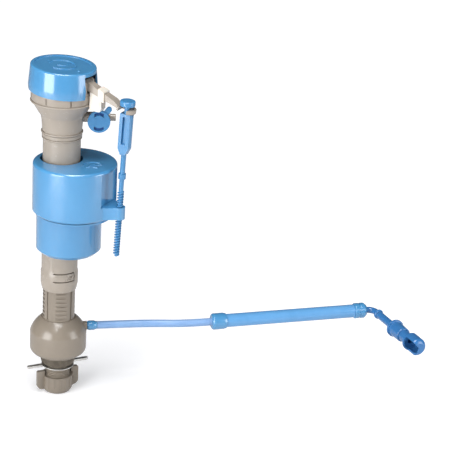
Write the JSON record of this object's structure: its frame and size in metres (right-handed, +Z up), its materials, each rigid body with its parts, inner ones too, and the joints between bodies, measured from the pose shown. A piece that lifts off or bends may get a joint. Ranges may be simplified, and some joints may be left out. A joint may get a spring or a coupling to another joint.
{
  "type": "toilet fill valve",
  "caption": "Float-cup fill valve on a sliding riser, with a lever-worked cap, a threaded adjusting rod, a refill branch and a side tube with a swivelling cleaning jet.",
  "frame": {"origin": "centre of the shank gasket's underside, where it seats on the tank floor", "axes": "+Z up along the riser, +X along the float lever towards the adjusting rod"},
  "size_m": [0.3497, 0.2378, 0.326],
  "materials": {
    "blue_plastic": "moulded, glossy light blue",
    "blue_hose": "extruded flexible, satin blue",
    "taupe_plastic": "moulded, satin taupe grey",
    "nylon": "moulded, natural white",
    "rubber": "moulded, matt black",
    "grey_rubber": "moulded, dull grey-brown",
    "zinc_steel": "stamped, dull zinc",
    "stainless": "bright drawn pin"
  },
  "bodies": {
    "base": {"shank_base": "taupe_plastic", "base_dome": "taupe_plastic", "lower_tube": "taupe_plastic", "tube_o_ring": "rubber", "inlet_screen": "nylon", "shank_gasket": "grey_rubber", "hose_nipple": "blue_plastic", "cleaning_hose": "blue_hose", "jet_collar_near": "blue_plastic", "jet_tube": "blue_plastic", "jet_collar_far": "blue_plastic", "elbow_barb": "blue_plastic", "tip_hose": "blue_hose", "nozzle_coupling": "blue_plastic"},
    "washer": {"ear_washer": "zinc_steel"},
    "nut": {"lock_nut": "taupe_plastic"},
    "riser": {"riser_tube": "taupe_plastic", "head_body": "taupe_plastic", "seat_ring": "nylon", "refill_valve_body": "taupe_plastic", "refill_nipple": "taupe_plastic"},
    "dial": {"refill_dial": "blue_plastic"},
    "cap": {"head_cap": "blue_plastic", "bonnet": "taupe_plastic", "lever_pin": "stainless", "diaphragm": "rubber"},
    "lever": {"float_lever": "taupe_plastic", "pilot_seal": "rubber", "lever_saddle": "nylon"},
    "button": {"rod_button": "blue_plastic"},
    "rod": {"adjusting_rod": "blue_plastic"},
    "float": {"float_cup": "blue_plastic", "float_base": "blue_plastic"},
    "nozzle": {"jet_nozzle": "blue_plastic"}
  },
  "joints": [
    {"name": "height_adjust", "type": "slide", "parent": "base", "child": "riser", "axis": [0, 0, 1], "range_m": [-0.0258, 0.0387]},
    {"name": "washer_lift", "type": "slide", "parent": "base", "child": "washer", "axis": [0, 0, 1], "range_m": [-0.004, 0]},
    {"name": "nut_turn", "type": "hinge", "parent": "base", "child": "nut", "pos_m": [0, 0, -0.0211], "axis": [0, 0, 1], "continuous": true},
    {"name": "cap_twist", "type": "hinge", "parent": "riser", "child": "cap", "pos_m": [0, 0, 0.271], "axis": [0, 0, 1], "range_deg": [-45, 0]},
    {"name": "dial_turn", "type": "hinge", "parent": "riser", "child": "dial", "pos_m": [0.02867, 0.01655, 0.2442], "axis": [0.5, -0.866, 0], "range_deg": [-60, 40]},
    {"name": "float_rise", "type": "slide", "parent": "cap", "child": "button", "axis": [0, 0, 1], "range_m": [0, 0.0134]},
    {"name": "lever_swing", "type": "hinge", "parent": "cap", "child": "lever", "pos_m": [0.024, 0, 0.2816], "axis": [0, -1, 0], "range_deg": [0, 17.4]},
    {"name": "rod_turn", "type": "hinge", "parent": "button", "child": "rod", "pos_m": [0.0662, 0, 0.264], "axis": [0.0471, 0, 0.9989], "range_deg": [0, 3600]},
    {"name": "level_adjust", "type": "slide", "parent": "button", "child": "float", "axis": [-0.0471, 0, -0.9989], "range_m": [0, 0.026]},
    {"name": "nozzle_swivel", "type": "hinge", "parent": "base", "child": "nozzle", "pos_m": [0.29135, 0.15714, 0.036], "axis": [0.7547, -0.6561, 0], "range_deg": [-90, 90]}
  ],
  "couplings": [
    {"joint": "lever_swing", "follows": "float_rise", "rad_per_m": 22.662},
    {"joint": "rod_turn", "follows": "level_adjust", "rad_per_m": 2416.6}
  ]
}
